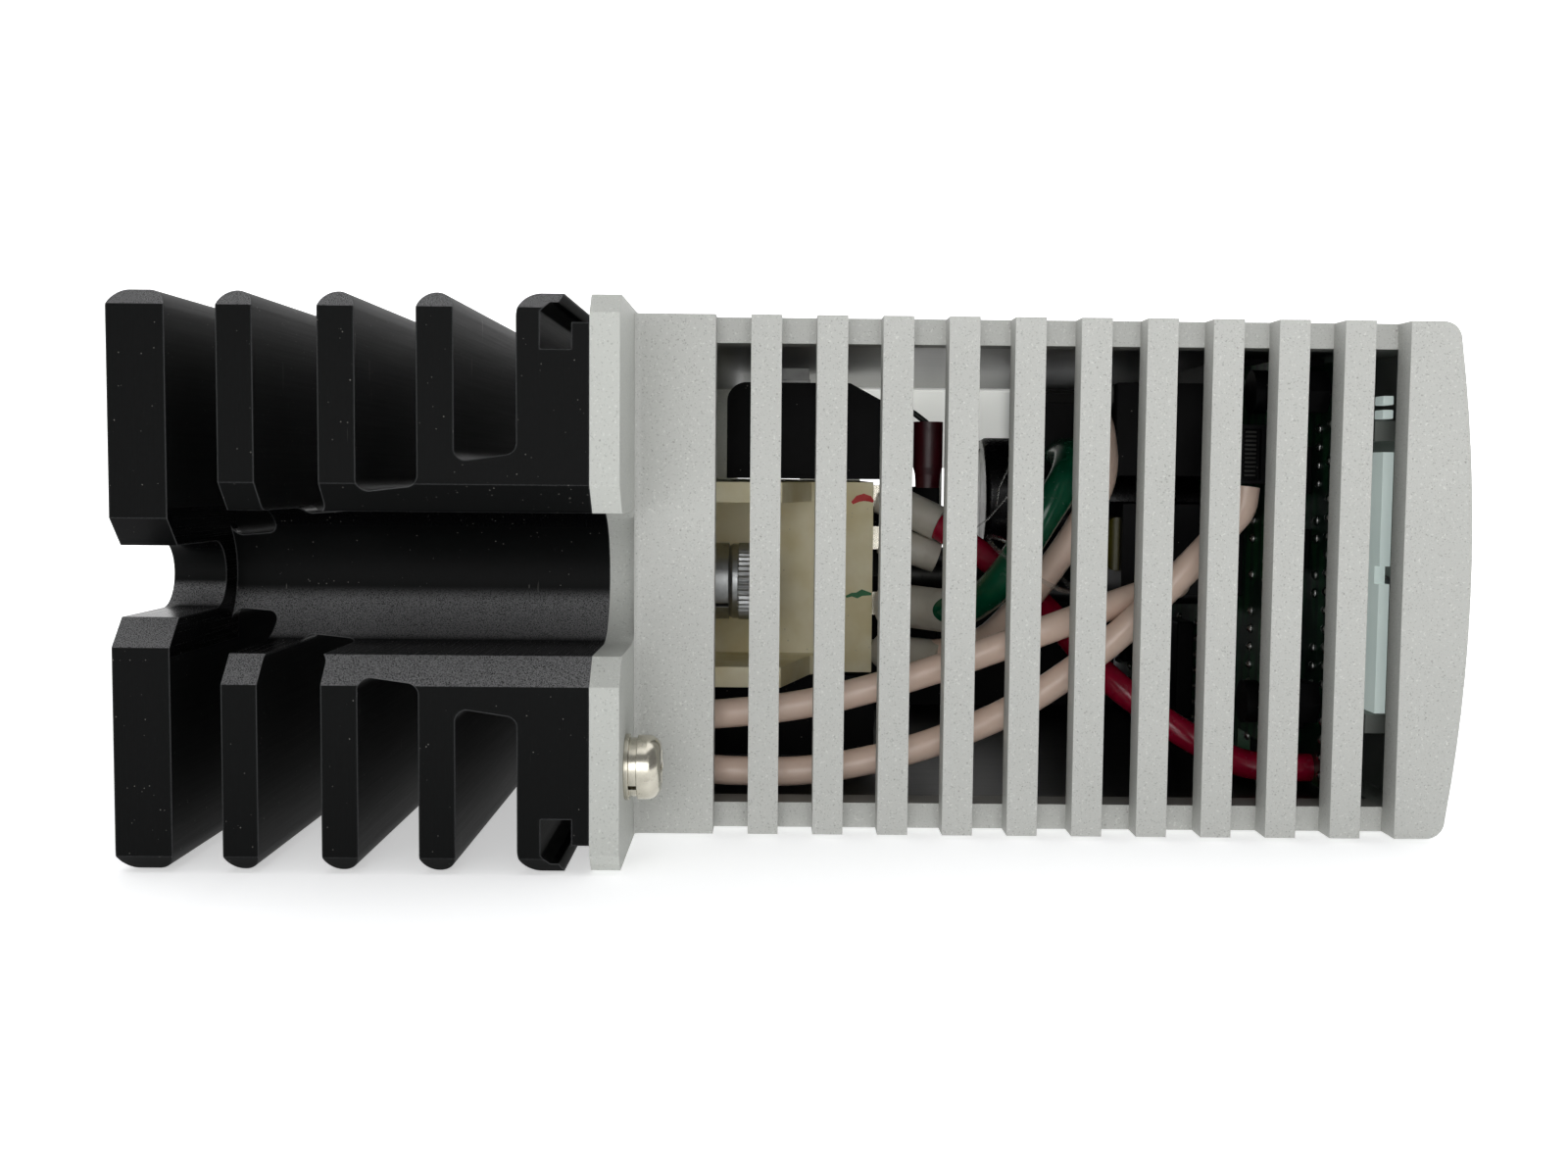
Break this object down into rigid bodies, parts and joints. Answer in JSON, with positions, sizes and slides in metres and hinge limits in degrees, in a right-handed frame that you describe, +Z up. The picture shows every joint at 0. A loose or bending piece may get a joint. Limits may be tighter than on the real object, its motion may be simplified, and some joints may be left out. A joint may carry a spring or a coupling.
{
  "type": "power inverter",
  "caption": "Wall-mount power inverter: finned black heatsink, grey flange and louvred case with power module, boards and leads inside.",
  "frame": {"origin": "middle of the side that the unit lies on, at the centre of its bounding box", "axes": "+X from the wall plate to the bowed front, +Y along the height of the unit, +Z up across its width"},
  "size_m": [0.152, 0.16, 0.0617],
  "materials": {
    "black_anodised": "black anodised, satin",
    "case_paint": "light grey, fine speckled texture",
    "nickel_plate": "nickel plated",
    "zinc_plate": "zinc plated",
    "bare_metal": "brushed",
    "grey_pad": "matt",
    "beige_plastic": "moulded beige",
    "black_plastic": "moulded black",
    "black_sleeve": "shrunk black film",
    "white_sleeve": "white nylon",
    "pink_insulation": "pale pink lead insulation",
    "red_insulation": "crimson lead insulation",
    "green_insulation": "green lead insulation",
    "maroon_sleeve": "dark red shrink tube",
    "yellow_tape": "yellow winding tape",
    "green_board": "green solder mask",
    "pale_sheet": "pale blue-white film",
    "green_plastic": "moulded green",
    "light_lens": "clear tinted",
    "grey_plastic": "moulded grey"
  },
  "bodies": {
    "case_and_heatsink": {"board_guides": "black_plastic", "board_screws": "black_plastic", "board_spacers": "black_plastic", "bridge_rectifier": "black_plastic", "bus_lead": "black_plastic", "button_switch": "black_plastic", "cable_tie": "white_sleeve", "capacitor_ends": "bare_metal", "control_board": "green_board", "dc_capacitors": "black_sleeve", "earth_lead": "green_insulation", "edge_sockets": "black_plastic", "far_louvre_end": "case_paint", "flange_flat_washers": "nickel_plate", "flange_screws": "nickel_plate", "flange_spring_washers": "nickel_plate", "front_cover": "case_paint", "front_sheet": "pale_sheet", "header_pins": "nickel_plate", "heatsink": "black_anodised", "input_lead_a": "pink_insulation", "input_lead_b": "pink_insulation", "lead_header": "black_plastic", "lead_sleeves": "white_sleeve", "lead_terminal": "black_plastic", "line_filter": "black_plastic", "lower_side_wall": "case_paint", "main_board": "green_board", "module_base_plate": "bare_metal", "module_cap_screws": "zinc_plate", "module_flat_washers": "zinc_plate", "module_spring_washers": "zinc_plate", "mounting_flange": "case_paint", "near_louvre_end": "case_paint", "output_lead": "pink_insulation", "power_module": "beige_plastic", "red_lead": "red_insulation", "relay": "black_plastic", "shrink_sleeve": "maroon_sleeve", "signal_insert": "black_plastic", "signal_shell": "nickel_plate", "snubber_bracket": "bare_metal", "snubber_capacitor": "black_plastic", "snubber_lead": "nickel_plate", "status_lights": "light_lens", "terminal_header": "green_plastic", "terminal_nuts": "zinc_plate", "terminal_studs": "zinc_plate", "terminal_tabs": "nickel_plate", "thermal_pad": "grey_pad", "transformer_core": "black_plastic", "transformer_winding": "yellow_tape", "upper_side_wall": "case_paint", "vent_film": "pale_sheet"},
    "terminal_plug": {"terminal_plug": "green_plastic", "plug_screws": "nickel_plate"},
    "reset_button": {"reset_button": "grey_plastic"}
  },
  "joints": [
    {"name": "plug_pull", "type": "slide", "parent": "case_and_heatsink", "child": "terminal_plug", "axis": [1, 0, 0], "range_m": [0, 0.014]},
    {"name": "button_press", "type": "slide", "parent": "case_and_heatsink", "child": "reset_button", "axis": [-1, 0, 0], "range_m": [0, 0.0008], "stiffness_N_per_m": 600}
  ]
}
